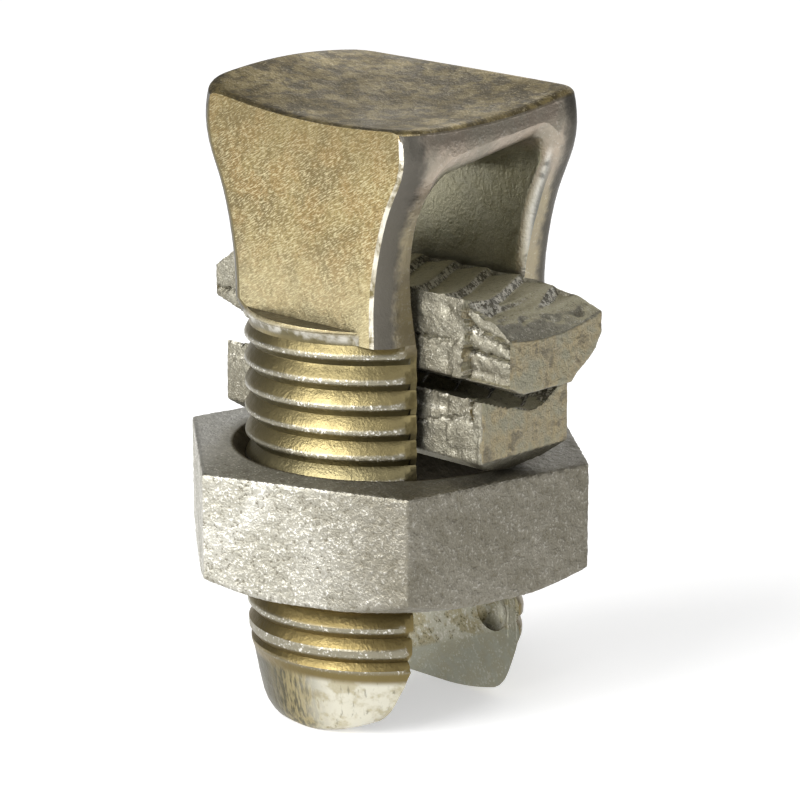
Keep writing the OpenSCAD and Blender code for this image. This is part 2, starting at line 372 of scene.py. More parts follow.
slot = block((-slot_reach, -slot_half_w, slot_low_z), (slot_reach, slot_half_w, roof_z))
for side in (-1, 1):
    pick_edges(slot, lambda a, b: min(a.z, b.z) > roof_z - slack
               and min(side * a.y, side * b.y) > slot_half_w - slack)
    bpy.ops.mesh.bevel(offset=roof_corner_r, segments=roof_segments, affect="EDGES")
divide(even_cuts + mouth_cuts, (1, 0, 0))
divide(near_leg_heights[:3], (0, 0, 1))
divide([ring_z for ring_z, ring_length in crown_lengths if ring_z < roof_z], (0, 0, 1))
slot = done("slot_saw")


def slot_shape(place, normal):
    """Arches the slot's roof, rounds its flared mouths and narrows it at the near leg."""
    x, y, z = place.T
    heights, lengths = zip(*crown_lengths)
    arch_share = np.clip((z - arch_low_z) / arch_h, 0, 1)
    tilt = roof_tilt * y * np.sign(x)
    mouth = np.interp(z + arch_share * (mouth_x ** 2 / (2 * roof_r) + tilt), heights, lengths)
    from_mouth = np.abs(x) - mouth_x
    x = x + np.sign(x) * (mouth - mouth_x) * np.clip((from_mouth + flare_start) / flare_l, 0, 1)
    open_by = mouth_round_w * np.clip(from_mouth / mouth_round_l + 1, 0, mouth_round_most) ** 2
    open_by = open_by * np.interp(z, [crown_foot_z, mouth_full_z], [0, 1])
    spread = normal[:, 1:] / np.maximum(np.hypot(normal[:, 1], normal[:, 2]), 0.3)[:, None]
    y = y + near_leg_in * np.clip(-y / slot_half_w, 0, 1) * np.interp(z, near_leg_heights, near_leg_shares)
    sag = sag_rate * np.clip(-y * np.sign(x) - sag_from_y, 0, None) ** 2
    rise = arch_share * (x ** 2 / (2 * roof_r) + tilt * (x / mouth_x) ** 2 - sag * (x / mouth_x) ** 4)
    return np.column_stack((x, y + open_by * spread[:, 0], z + rise + open_by * spread[:, 1]))


reshape(slot, slot_shape)
cut(bolt, slot)

begin()
bpy.ops.mesh.primitive_uv_sphere_add(segments=48, ring_count=24, radius=punch_r, location=punch_place)
bpy.ops.object.transform_apply(location=True, rotation=True, scale=True)
cut(bolt, bpy.context.object)


def clean_and_shade(piece, angle, merge=2e-4):
    """Merges what a cut left double, points faces outwards and smooths the curved parts."""
    begin()
    bpy.context.view_layer.objects.active = piece
    piece.select_set(True)
    edit()
    bpy.ops.mesh.remove_doubles(threshold=merge)
    bpy.ops.mesh.dissolve_degenerate(threshold=merge / 2)
    bpy.ops.mesh.select_all(action="SELECT")
    bpy.ops.mesh.normals_make_consistent(inside=False)
    bpy.ops.object.mode_set(mode="OBJECT")
    bpy.ops.object.shade_smooth_by_angle(angle=math.radians(angle))


def to_metres(piece):
    """Brings a piece from millimetres to metres, with its place in its mesh."""
    begin()
    bpy.context.view_layer.objects.active = piece
    piece.select_set(True)
    piece.scale = (0.001, 0.001, 0.001)
    bpy.ops.object.transform_apply(location=True, rotation=True, scale=True)


def spread_legs(place, normal):
    """Moves the staked legs slightly apart below the nut."""
    x, y, z = place.T
    return np.column_stack((x, y + np.sign(y) * leg_spread * np.clip(1 - z / spread_top_z, 0, 1), z))


reshape(bolt, spread_legs)
clean_and_shade(bolt, angle=15)
to_metres(bolt)


def put(tree, kind, inputs=None, **settings):
    """Adds a shader node, with its inputs given by name or number as values or sockets."""
    made = tree.nodes.new("ShaderNode" + kind)
    for key, value in settings.items():
        setattr(made, key, value)
    for key, value in (inputs or {}).items():
        if isinstance(value, bpy.types.NodeSocket):
            tree.links.new(value, made.inputs[key])
        else:
            made.inputs[key].default_value = value
    return made


def ramp(tree, factor, low, high):
    """A mask that goes from 0 at one value to 1 at another."""
    return put(tree, "MapRange", {"Value": factor, "From Min": low, "From Max": high},
               interpolation_type="SMOOTHSTEP").outputs["Result"]


def mix_colour(tree, factor, a, b):
    """Goes from one colour to another by a factor."""
    return put(tree, "Mix", {0: factor, 6: a, 7: b}, data_type="RGBA").outputs[2]


def math_node(tree, operation, a, b=0.0):
    """The result of one operation on one or two values."""
    return put(tree, "Math", {0: a, 1: b}, operation=operation).outputs[0]


def both(tree, a, b):
    """A mask times another mask or a share."""
    return math_node(tree, "MULTIPLY", a, b)


def scaled(tree, value, gain, start):
    """A value times a gain, on top of a start."""
    return put(tree, "Math", {0: value, 1: gain, 2: start}, operation="MULTIPLY_ADD").outputs[0]


def start_material(finish):
    """The node tree of a bare metal finish, its surface shader, the places on the piece and its facing."""
    finish.use_nodes = True
    tree = finish.node_tree
    shader = tree.nodes["Principled BSDF"]
    shader.inputs["Metallic"].default_value = 1
    source = put(tree, "TexCoord").outputs
    return tree, shader, source["Object"], put(tree, "SeparateXYZ", {0: source["Normal"]}).outputs


def tin_grain_group():
    """The grain of tinned metal: its height, bright bare grains painted as glints, dark pits and slow
    blotches of tarnish.
    """
    group = bpy.data.node_groups.new("tin_grain", "ShaderNodeTree")
    face = group.interface
    face.new_socket("Places", in_out="INPUT", socket_type="NodeSocketVector")
    face.new_socket("Grain", in_out="INPUT", socket_type="NodeSocketFloat")
    face.new_socket("Blotch", in_out="INPUT", socket_type="NodeSocketFloat")
    for name in ("Height", "Sparkle", "Pits", "Tarnish"):
        face.new_socket(name, in_out="OUTPUT", socket_type="NodeSocketFloat")
    entry = group.nodes.new("NodeGroupInput").outputs
    leave = group.nodes.new("NodeGroupOutput").inputs
    fine = put(group, "TexNoise", {"Vector": entry["Places"], "Scale": entry["Grain"], "Detail": 2.0,
                                   "Roughness": 0.6}).outputs[0]
    coarse_scale = math_node(group, "MULTIPLY", entry["Grain"], 0.3)
    coarse = put(group, "TexNoise", {"Vector": entry["Places"], "Scale": coarse_scale,
                                     "Detail": 3.0}).outputs[0]
    blotch = put(group, "TexNoise", {"Vector": entry["Places"], "Scale": entry["Blotch"], "Detail": 4.0,
                                     "Roughness": 0.62, "Distortion": 0.4}).outputs[0]
    height = math_node(group, "ADD", fine, math_node(group, "MULTIPLY", coarse, 1.4))
    group.links.new(height, leave["Height"])
    sparkle = both(group, ramp(group, fine, 0.52, 0.66), ramp(group, coarse, 0.40, 0.60))
    group.links.new(sparkle, leave["Sparkle"])
    pits = both(group, ramp(group, fine, 0.50, 0.36), ramp(group, coarse, 0.52, 0.38))
    group.links.new(pits, leave["Pits"])
    group.links.new(ramp(group, blotch, 0.38, 0.62), leave["Tarnish"])
    return group


tin_grain = tin_grain_group()


def grain(tree, places, size, blotch):
    """Places the tin grain in a material, with its own sizes, and gives its outputs."""
    sizes = {"Places": places, "Grain": size, "Blotch": blotch}
    return put(tree, "Group", sizes, node_tree=tin_grain).outputs


def stretched(tree, places, scales):
    """Noise drawn out along one way, as grinding and drawing leave it."""
    drawn = put(tree, "VectorMath", {0: places, 1: scales}, operation="MULTIPLY").outputs[0]
    return put(tree, "TexNoise", {"Vector": drawn, "Scale": 1.0, "Detail": 3.0, "Roughness": 0.6}).outputs[0]


def add_relief(tree, shader, strength, depth, height):
    """Feeds the shader's normal with a relief of small heights."""
    bump = put(tree, "Bump", {"Strength": strength, "Distance": depth, "Height": height})
    tree.links.new(bump.outputs[0], shader.inputs["Normal"])


# Places on the bolt in metres, its facing, and the masks of its regions
tree, shader, places, (face_x, face_y, face_z) = start_material(bolt_tin)
along, across, up = put(tree, "SeparateXYZ", {0: places}).outputs
side = math_node(tree, "ABSOLUTE", across)
flat_on = math_node(tree, "ABSOLUTE", face_y)
end_on = math_node(tree, "ABSOLUTE", face_x)
reach = put(tree, "CombineXYZ", {0: along, 1: across}).outputs[0]
radius = put(tree, "VectorMath", {0: reach}, operation="LENGTH").outputs["Value"]
surface = grain(tree, places, size=7500.0, blotch=330.0)
ground_way = put(tree, "Mapping", {"Vector": places, "Rotation": (0, 0.5, 0)}).outputs[0]
grind = stretched(tree, ground_way, (3400.0, 3400.0, 17000.0))
patches = stretched(tree, places, (520.0, 520.0, 520.0))
striae = stretched(tree, places, (4200.0, 4200.0, 700.0))
cloudy = stretched(tree, places, (1100.0, 1100.0, 1100.0))
foot_end = both(tree, ramp(tree, end_on, 0.75, 0.85), ramp(tree, up, 0.0198, 0.0208))
on_foot = both(tree, ramp(tree, radius, 0.00716, 0.00722), ramp(tree, up, 0.0203, 0.0205))
on_foot = math_node(tree, "MAXIMUM", on_foot, foot_end)
on_crown = math_node(tree, "MAXIMUM", ramp(tree, up, 0.0209, 0.0213), on_foot)
on_top = both(tree, ramp(tree, face_z, 0.35, 0.7), ramp(tree, up, 0.0295, 0.0305))
on_flat = both(tree, ramp(tree, side, 0.00589, 0.00591), on_crown)
at_ledge = both(tree, ramp(tree, up, 0.0208, 0.0211), ramp(tree, up, 0.0222, 0.0216))
ledge_shadow = both(tree, ramp(tree, face_z, 0.7, 0.9), at_ledge)
sawn = math_node(tree, "MAXIMUM", ramp(tree, flat_on, 0.75, 0.90), ramp(tree, face_z, -0.3, -0.6))
in_slot = both(tree, both(tree, ramp(tree, side, 0.0040, 0.00396), ramp(tree, up, 0.0298, 0.0290)), sawn)
inner = ramp(tree, side, 0.0046, 0.0044)
on_leg_wall = both(tree, both(tree, ramp(tree, flat_on, 0.8, 0.9), inner), ramp(tree, up, 0.0090, 0.0080))
mouth_wall = both(tree, ramp(tree, flat_on, 0.45, 0.65), inner)
on_mouth = both(tree, mouth_wall, both(tree, ramp(tree, side, 0.00396, 0.00425), on_crown))

# Thread: gold in its roots, darker low down, with painted shade on its downward faces and where it goes into
# the nut, and a painted highlight on its crests
gold, gold_dark, olive = (0.225, 0.185, 0.088, 1), (0.155, 0.128, 0.062, 1), (0.13, 0.115, 0.065, 1)
deep_gold = (0.185, 0.14, 0.055, 1)
crest_grey, highlight_white = (0.25, 0.23, 0.17, 1), (0.78, 0.76, 0.70, 1)
colour = mix_colour(tree, surface["Tarnish"], gold, gold_dark)
# Painted shade: the thread's downward faces are darkened to olive
colour = mix_colour(tree, ramp(tree, face_z, -0.15, -0.45), colour, olive)
colour = mix_colour(tree, both(tree, ramp(tree, up, 0.0090, 0.0070), 0.7), colour, deep_gold)
# Painted shade on the thread where it goes into the nut, from just above the nut down through it
shade_at_nut = both(tree, ramp(tree, up, 0.0152, 0.0144), ramp(tree, up, 0.0080, 0.0090))
colour = mix_colour(tree, both(tree, shade_at_nut, 0.6), colour, olive)
# Painted highlight on the crests, with painted glints in it
crest_r = math_node(tree, "ADD", radius, both(tree, ramp(tree, up, 0.0064, 0.0046), 0.00006))
crest = both(tree, ramp(tree, crest_r, 0.00700, 0.00710), ramp(tree, face_z, 0.45, 0.25))
colour = mix_colour(tree, crest, colour, mix_colour(tree, surface["Sparkle"], crest_grey, highlight_white))
# The run-out ring under the crown is bare in blotches, painted near white as a highlight
run_out = both(tree, ramp(tree, up, 0.0202, 0.0206), ramp(tree, radius, 0.00690, 0.00700))
run_out = both(tree, run_out, ramp(tree, face_z, 0.5, 0.3))
bare = both(tree, ramp(tree, cloudy, 0.38, 0.62), 0.6)
colour = mix_colour(tree, both(tree, run_out, bare), colour, highlight_white)

# Leg ends: streaked, with painted shade towards -X and painted light towards +X
tip_streak_and_shade, tip_gold, tip_lit = (0.10, 0.09, 0.055, 1), (0.33, 0.28, 0.15, 1), (0.60, 0.58, 0.49, 1)
streaks = mix_colour(tree, ramp(tree, striae, 0.40, 0.60), tip_streak_and_shade, tip_gold)
bright = mix_colour(tree, both(tree, ramp(tree, cloudy, 0.46, 0.64), 0.6), tip_lit, tip_gold)
bright = mix_colour(tree, both(tree, ramp(tree, striae, 0.55, 0.70), 0.5), bright, tip_streak_and_shade)
# Painted shade on the leg ends' -X side and painted light on their +X side
tip = mix_colour(tree, ramp(tree, along, -0.0026, 0.0004), tip_streak_and_shade, streaks)
tip = mix_colour(tree, ramp(tree, along, -0.0002, 0.0026), tip, bright)
colour = mix_colour(tree, ramp(tree, up, 0.0034, 0.0030), colour, tip)

# Crown's ends, with a painted dark reflection in a band towards their edges
end_rose, end_grey = (0.44, 0.37, 0.295, 1), (0.31, 0.28, 0.225, 1)
end_gold, pit_and_reflection_dark = (0.40, 0.34, 0.21, 1), (0.088, 0.082, 0.07, 1)
end = mix_colour(tree, surface["Tarnish"], end_rose, end_grey)
end = mix_colour(tree, ramp(tree, up, 0.0285, 0.0265), end, mix_colour(tree, cloudy, end_gold, end_grey))
end = mix_colour(tree, both(tree, surface["Sparkle"], 0.2), end, highlight_white)
# Painted reflection: a dark band on the rounded corners next to the flats
band = ramp(tree, scaled(tree, cloudy, 0.0009, side), 0.0051, 0.0057)
band = both(tree, band, ramp(tree, end_on, 0.08, 0.25))
end = mix_colour(tree, both(tree, band, 0.93), end, pit_and_reflection_dark)
colour = mix_colour(tree, on_crown, colour, end)

# Crown's top: grainy, and darker in its hollow
top_dark, top_gold, top_light = (0.17, 0.135, 0.068, 1), (0.47, 0.37, 0.17, 1), (0.70, 0.60, 0.38, 1)
top = mix_colour(tree, ramp(tree, cloudy, 0.40, 0.62), top_dark, top_gold)
top = mix_colour(tree, both(tree, surface["Tarnish"], 0.5), top, top_dark)
top = mix_colour(tree, both(tree, surface["Sparkle"], 0.6), top, top_light)
top = mix_colour(tree, both(tree, ramp(tree, radius, 0.0060, 0.0030), 0.35), top, top_dark)
top = mix_colour(tree, both(tree, surface["Pits"], 0.6), top, pit_and_reflection_dark)
colour = mix_colour(tree, on_top, colour, top)

# Crown's flats, ground aslant and blotched, and painted shadow on the ledge under them
shadow_black, strip_grey = (0.035, 0.03, 0.02, 1), (0.23, 0.23, 0.215, 1)
flat_gold, flat_brown, flat_light = (0.32, 0.25, 0.11, 1), (0.17, 0.13, 0.06, 1), (0.62, 0.55, 0.34, 1)
flat_rust = (0.30, 0.195, 0.075, 1)
flat = mix_colour(tree, surface["Tarnish"], flat_gold, flat_brown)
flat = mix_colour(tree, both(tree, ramp(tree, patches, 0.45, 0.62), 0.6), flat, flat_rust)
flat = mix_colour(tree, both(tree, ramp(tree, grind, 0.47, 0.66), 0.75), flat, flat_light)
flat = mix_colour(tree, both(tree, ramp(tree, grind, 0.50, 0.36), 0.6), flat, flat_brown)
flat = mix_colour(tree, both(tree, surface["Sparkle"], 0.4), flat, flat_light)
flat = mix_colour(tree, both(tree, ramp(tree, up, 0.0262, 0.0212), 0.4), flat, flat_light)
flat = mix_colour(tree, both(tree, surface["Pits"], 0.5), flat, flat_brown)
flat = mix_colour(tree, both(tree, ramp(tree, up, 0.0275, 0.0315), 0.45), flat, flat_brown)
colour = mix_colour(tree, on_flat, colour, flat)
# Painted shadow: the ledge under the flats is near black
colour = mix_colour(tree, ledge_shadow, colour, shadow_black)

# Slot, with painted shade deep between the legs, the legs' inner walls, and the worn strips at its mouths,
# which carry a painted highlight
slot_olive, slot_light, wall_green = (0.36, 0.34, 0.24, 1), (0.46, 0.44, 0.33, 1), (0.36, 0.36, 0.29, 1)
wall_gold, wall_silver = (0.35, 0.315, 0.20, 1), (0.44, 0.425, 0.34, 1)
slot_colour = mix_colour(tree, surface["Tarnish"], slot_olive, slot_light)
# Painted shade: the slot between the legs is near black
shade_between_legs = both(tree, ramp(tree, up, 0.0203, 0.0193), ramp(tree, up, 0.0078, 0.0086))
slot_colour = mix_colour(tree, shade_between_legs, slot_colour, shadow_black)
colour = mix_colour(tree, in_slot, colour, slot_colour)
leg_wall = mix_colour(tree, ramp(tree, cloudy, 0.40, 0.58), wall_gold, wall_silver)
leg_wall = mix_colour(tree, surface["Pits"], leg_wall, olive)
leg_wall = mix_colour(tree, both(tree, surface["Sparkle"], 0.6), leg_wall, highlight_white)
ground_z = scaled(tree, along, 0.39, 0.0021)
on_ground = ramp(tree, math_node(tree, "SUBTRACT", up, ground_z), 0.0002, -0.0001)
ground = mix_colour(tree, both(tree, ramp(tree, cloudy, 0.42, 0.62), 0.35), wall_green, wall_gold)
ground = mix_colour(tree, both(tree, surface["Sparkle"], 0.3), ground, highlight_white)
colour = mix_colour(tree, on_leg_wall, colour, mix_colour(tree, on_ground, leg_wall, ground))
# Painted highlight on the inner edge of the mouth strips, in blotches
strip_edge = ramp(tree, side, 0.00440, 0.00415)
strip_highlight = both(tree, strip_edge, ramp(tree, cloudy, 0.3, 0.5))
colour = mix_colour(tree, on_mouth, colour, mix_colour(tree, strip_highlight, strip_grey, highlight_white))
tree.links.new(colour, shader.inputs["Base Color"])

tree.links.new(scaled(tree, surface["Tarnish"], 0.12, 0.34), shader.inputs["Roughness"])
height = math_node(tree, "ADD", surface["Height"], both(tree, grind, on_flat))
add_relief(tree, shader, 0.35, 0.00006, height)

# Worn edges beside the flats, with a painted highlight towards +X
edge_highlight_silver = (0.66, 0.62, 0.52, 1)
tree, shader, places = start_material(bolt_edge)[:3]
surface = grain(tree, places, size=7500.0, blotch=900.0)
front = ramp(tree, put(tree, "SeparateXYZ", {0: places}).outputs["X"], 0.001, 0.005)
# Painted highlight: silver on the worn edges towards +X, broken up by the tarnish blotches
worn = both(tree, front, math_node(tree, "SUBTRACT", 1.0, surface["Tarnish"]))
tree.links.new(mix_colour(tree, worn, gold_dark, edge_highlight_silver), shader.inputs["Base Color"])
shader.inputs["Roughness"].default_value = 0.34
add_relief(tree, shader, 0.4, 0.00006, surface["Height"])
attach(bolt, "bolt")
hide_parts("split_bolt")


# Hex nut
# A nut of cast and tinned copper alloy, grainy on every side, with a chamfer under its corners.
# It is tapped with the bolt's thread and carries the pressure bar.
nut_low, nut_high = 7.85, 14.0
nut_flats_w, nut_turn = 19.2, -9.6
nut_corner_r = nut_flats_w / 2 / math.cos(math.radians(30))
# Radii of its rounded corners and of the land below, the chamfer between them, and its upper rim
nut_round_r = 11.25
nut_land_r = 9.65
chamfer_h = (nut_round_r - nut_land_r) * math.tan(math.radians(28))
nut_rim_w, nut_rim_h = 0.15, 0.12
nut_voxel, lump_h = 0.115, 0.07
# Clearance of its thread, and the countersinks at its two mouths: how far their cutter stands out
# of the nut, how far it is wider than the mouth, and its slope
tap_gap = 0.06
nut_mouth_r = 7.95
sink_over, sink_past, sink_slope = 0.5, 0.4, 0.9
lathe_segments = 96


def lathe(name, first, steps):
    """A solid turned about the bolt's axis from an outline that starts and ends on the axis."""
    outline(first, steps)
    bpy.ops.mesh.select_all(action="SELECT")
    bpy.ops.mesh.spin(steps=lathe_segments, angle=math.tau, center=(0, 0, 0), axis=(0, 0, 1))
    bpy.ops.mesh.select_all(action="SELECT")
    bpy.ops.mesh.remove_doubles(threshold=weld)
    return done(name)


begin()
bpy.ops.mesh.primitive_cylinder_add(vertices=6, radius=nut_corner_r, depth=nut_high - nut_low,
                                    location=(0, 0, (nut_low + nut_high) / 2),
                                    rotation=(0, 0, math.radians(nut_turn)))
bpy.ops.object.transform_apply(location=True, rotation=True, scale=True)
nut = bpy.context.object
nut.name = nut.data.name = "hex_nut_finish"
cut(nut, lathe("nut_turning", (0, nut_low - 0.001), [
    (nut_land_r, 0), (nut_round_r - nut_land_r, chamfer_h), (0, nut_high - nut_low - chamfer_h - nut_rim_h),
    (-nut_rim_w, nut_rim_h + 0.0021), (nut_rim_w - nut_round_r, 0)]), "INTERSECT")
finish_with(nut, "REMESH", mode="VOXEL", voxel_size=nut_voxel)
cast_lumps = bpy.data.textures.new("cast_lumps", "CLOUDS")
cast_lumps.noise_scale = 0.3
cast_lumps.noise_depth = 2
finish_with(nut, "DISPLACE", texture=cast_lumps, texture_coords="LOCAL", strength=lump_h, mid_level=0.5)
cut(nut, threaded_stock("nut_tap", tap_gap, nut_low - 1, nut_high + 1))
sink = nut_mouth_r - root_r + sink_past
for mouth_z, side in ((nut_low, -1), (nut_high, 1)):
    cut(nut, lathe("countersink", (0, mouth_z + side * sink_over), [
        (nut_mouth_r + sink_past, 0), (-sink, -side * sink * sink_slope), (-root_r, 0)]))
clean_and_shade(nut, angle=40)
to_metres(nut)

# The nut's finish: silver with bare grains painted as glints on its lit side and dark pits, painted shade
# towards +X, painted light on the left of its top, and painted shade in the thread and countersinks
nut_tin = bpy.data.materials.new("nut_tin_finish")
tree, shader, places, facing = start_material(nut_tin)
surface = grain(tree, places, size=7500.0, blotch=300.0)
nut_silver, nut_grey, nut_highlight_white = (0.47, 0.455, 0.40, 1), (0.35, 0.335, 0.28, 1), (0.82, 0.80, 0.74, 1)
nut_pit, nut_bore_shade, nut_shade = (0.15, 0.135, 0.10, 1), (0.13, 0.11, 0.07, 1), (0.15, 0.135, 0.10, 1)
nut_along = put(tree, "SeparateXYZ", {0: places}).outputs["X"]
# Painted shade on the nut's +X side; the glints are painted only on its lit side
right_shade = both(tree, ramp(tree, nut_along, 0.000, 0.009), 0.78)
bright = math_node(tree, "SUBTRACT", 1.0, right_shade)
base = mix_colour(tree, surface["Tarnish"], nut_silver, nut_grey)
base = mix_colour(tree, right_shade, base, nut_shade)
base = mix_colour(tree, both(tree, surface["Sparkle"], bright), base, nut_highlight_white)
base = mix_colour(tree, both(tree, surface["Pits"], 0.9), base, nut_pit)
# Painted light on the left of the nut's top
on_top = both(tree, ramp(tree, facing["Z"], 0.6, 0.9), ramp(tree, nut_along, -0.001, -0.006))
base = mix_colour(tree, both(tree, on_top, 0.45), base, nut_highlight_white)
reach = put(tree, "VectorMath", {0: places, 1: (1, 1, 0)}, operation="MULTIPLY").outputs[0]
radius = put(tree, "VectorMath", {0: reach}, operation="LENGTH").outputs["Value"]
# Painted shade in the nut's thread and countersinks
base = mix_colour(tree, ramp(tree, radius, 0.0080, 0.0078), base, nut_bore_shade)
tree.links.new(base, shader.inputs["Base Color"])
tree.links.new(scaled(tree, surface["Tarnish"], 0.1, 0.42), shader.inputs["Roughness"])
add_relief(tree, shader, 0.5, 0.0001, surface["Height"])
nut.data.materials.clear()
nut.data.materials.append(nut_tin)
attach(nut, "nut")
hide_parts("hex_nut")


# Pressure bar and spacer bar
# Two loose bars of the same alloy, pressed to a section with a hollow top and a round belly, and
# sheared off at their sides, which left them torn. Their hollow tops have saw teeth that grip the wires.
tooth_pitch = 2.0
tooth_first = 2.98
tooth_depth = 0.38
tooth_turn = math.radians(27.2)
# Share of a tooth's length that its steep side takes
tooth_steep = 0.16
bar_voxel, bar_weld = 0.1, 1e-6
tear_depth, press_depth = 0.1, 0.03


def bar_blank(name, section, ends):
    """A bar drawn along X between two ends, from its section of places across and heights."""
    begin()
    bpy.ops.mesh.primitive_circle_add(vertices=len(section), radius=1, fill_type="NGON")
    bar = bpy.context.object
    for point, (across_y, height_z) in zip(bar.data.vertices, section):
        point.co = (ends[0], across_y, height_z)
    edit()
    bpy.ops.mesh.extrude_region_move(TRANSFORM_OT_translate={"value": (ends[1] - ends[0], 0, 0)})
    return done(name)


def bevel_off(bar, through, normal):
    """Planes a corner off a bar."""
    begin()
    bpy.context.view_layer.objects.active = bar
    edit()
    bpy.ops.mesh.bisect(plane_co=through, plane_no=normal, clear_outer=True, use_fill=True)
    done(bar.name)


def teeth(place, shift):
    """Saw teeth across a bar's top, each steep on one side."""
    run = place[:, 0] * math.cos(tooth_turn) + place[:, 1] * math.sin(tooth_turn)
    phase = np.mod((run - tooth_first - shift) / tooth_pitch, 1)
    falling, rising = 1 - phase / tooth_steep, (phase - tooth_steep) / (1 - tooth_steep)
    return tooth_depth * np.where(phase < tooth_steep, falling, rising)


def knobs(place, marks):
    """Sum of soft bumps and dents on a side, each a place along X, a height, two radii and a rise."""
    total = np.zeros(len(place))
    for at_x, at_z, wide, high, rise in marks:
        total += rise * np.exp(-((place[:, 0] - at_x) / wide) ** 2 - ((place[:, 2] - at_z) / high) ** 2)
    return total


def step(t, at, width):
    """Goes from 0 to 1 within a width around one value."""
    t = np.clip((t - at) / width + 0.5, 0, 1)
    return t * t * (3 - 2 * t)


def crack(t, at, width):
    """A narrow peak of 1 at one value."""
    return np.exp(-((t - at) / width) ** 2)


def ragged(place):
    """Places along X and Z on a torn side, shifted a little so that no edge on it runs straight."""
    x, z = place[:, 0], place[:, 2]
    shift_x = 0.05 * np.sin(9.1 * z + 1.7 * x) + 0.04 * np.sin(17.3 * z - 3.1 * x + 1.3)
    shift_z = 0.05 * np.sin(7.3 * x + 2.1 * z) + 0.04 * np.sin(15.7 * x - 4.3 * z + 0.7)
    return x + shift_x, z + shift_z


def facing_share(part):
    """How far a face belongs to a side, from the part of its normal that points there."""
    return np.clip((part - 0.5) * 3, 0, 1)


torn = bpy.data.textures.new("torn_metal", "CLOUDS")
torn.noise_scale = 0.42
torn.noise_depth = 3
pressed = bpy.data.textures.new("pressed_metal", "CLOUDS")
pressed.noise_scale = 0.22
pressed.noise_depth = 1


def roughen(bar):
    """Tears a bar's long sides and leaves a light grain on the rest of it."""
    sides = bar.vertex_groups.new(name="torn_sides")
    for point in bar.data.vertices:
        sides.add([point.index], max(0.0, abs(point.normal.y) - 0.5) * 2, "REPLACE")
    finish_with(bar, "DISPLACE", texture=torn, texture_coords="LOCAL", strength=tear_depth, mid_level=0.5,
                vertex_group="torn_sides")
    finish_with(bar, "DISPLACE", texture=pressed, texture_coords="LOCAL", strength=press_depth, mid_level=0.5)
    bar.vertex_groups.clear()


# The pressure bar's section, its ends along X, its planed corner as a point and a direction, and its teeth
press_section = [
    (-3.1, 15.15), (-3.05, 18.35), (-1.6, 17.85), (0.5, 17.3), (1.4, 17.55), (2.2, 18.1), (2.75, 18.7),
    (3.05, 18.95), (3.1, 15.25), (2.0, 14.5), (0.0, 14.12), (-2.0, 14.5),
]
press_ends = (-8.58, 9.65)
press_planed = (9.6, 0, 15.2), (0.7, 0, -0.7)
press_top_z = 16.5
press_tooth_shift, press_tooth_share = 0.9, 0.8
press_bar = bar_blank("pressure_bar_finish", press_section, press_ends)
bevel_off(press_bar, *press_planed)
finish_with(press_bar, "REMESH", mode="VOXEL", voxel_size=bar_voxel)
press_marks = [(7.4, 16.3, 0.12, 0.5, 0.14), (9.5, 16.0, 0.13, 0.8, 0.12), (6.4, 17.0, 0.5, 0.6, 0.1),
               (8.3, 16.6, 0.5, 0.6, 0.1), (7.75, 15.5, 0.3, 0.3, -0.16), (6.9, 18.1, 0.3, 0.15, 0.15)]


def press_tear(place):
    """How far the pressure bar's near side stands out or in where the shears tore it."""
    x, z = ragged(place)
    split = crack(x, 8.85 + 0.12 * (18 - z), 0.09) * step(z, 17.1, 0.3) * -0.5
    lump = step(x, 9.0, 0.15) * step(z, 17.0, 0.3) * 0.1
    slab = step(7.3, x, 0.2) * step(z, 17.5, 0.25) * -0.12
    fold = crack(z, 17.1 + 0.25 * (x - 7.4), 0.08) * step(8.6, x, 0.3) * -0.16
    return split + lump + slab + fold


def press_shape(place, normal):
    """Cuts the pressure bar's teeth and tears its near side."""
    x, y, z = place.T
    top = facing_share(normal[:, 2]) * (z > press_top_z)
    near = facing_share(-normal[:, 1])
    out = knobs(place, press_marks) + press_tear(place)
    cut_by = top * teeth(place, press_tooth_shift) * press_tooth_share
    return np.column_stack((x, y - near * out, z - cut_by))


reshape(press_bar, press_shape)
roughen(press_bar)
clean_and_shade(press_bar, angle=50, merge=bar_weld)
to_metres(press_bar)

# The spacer bar's section, its ends along X, and its planed corners as a point and a direction each
spacer_half_w = 3.35
spacer_section = [
    (-3.35, 19.35), (-3.35, 23.35), (-1.8, 23.05), (0.0, 22.95), (1.8, 23.05), (3.35, 23.1), (3.36, 21.4),
    (3.12, 20.8), (2.95, 20.3), (2.7, 20.0), (2.3, 19.72), (1.6, 19.25), (1.25, 18.9), (1.0, 18.4),
    (0.3, 17.6), (-0.6, 17.5), (-2.8, 19.1),
]
spacer_ends = (-9.0, 11.58)
spacer_planed = [
    ((11.5, 0, 18.85), (0.2, 0, -0.98)), ((0, -3.35, 19.25), (0, -0.33, -0.944)),
    ((-8.9, 0, 22.3), (-0.6, 0, 0.8)), ((-8.9, 0, 20.6), (-0.28, 0, -0.96)),
]
spacer_bar = bar_blank("spacer_bar_finish", spacer_section, spacer_ends)
for through, direction in spacer_planed:
    bevel_off(spacer_bar, through, direction)
finish_with(spacer_bar, "REMESH", mode="VOXEL", voxel_size=bar_voxel)
spacer_marks = [(8.7, 22.65, 0.45, 0.36, 0.3), (7.0, 21.9, 0.9, 0.6, 0.1), (6.1, 20.2, 0.5, 0.5, 0.1),
                (7.4, 20.1, 0.25, 0.5, -0.14), (5.9, 22.4, 0.3, 0.3, 0.14), (7.5, 22.6, 0.25, 0.25, -0.16)]


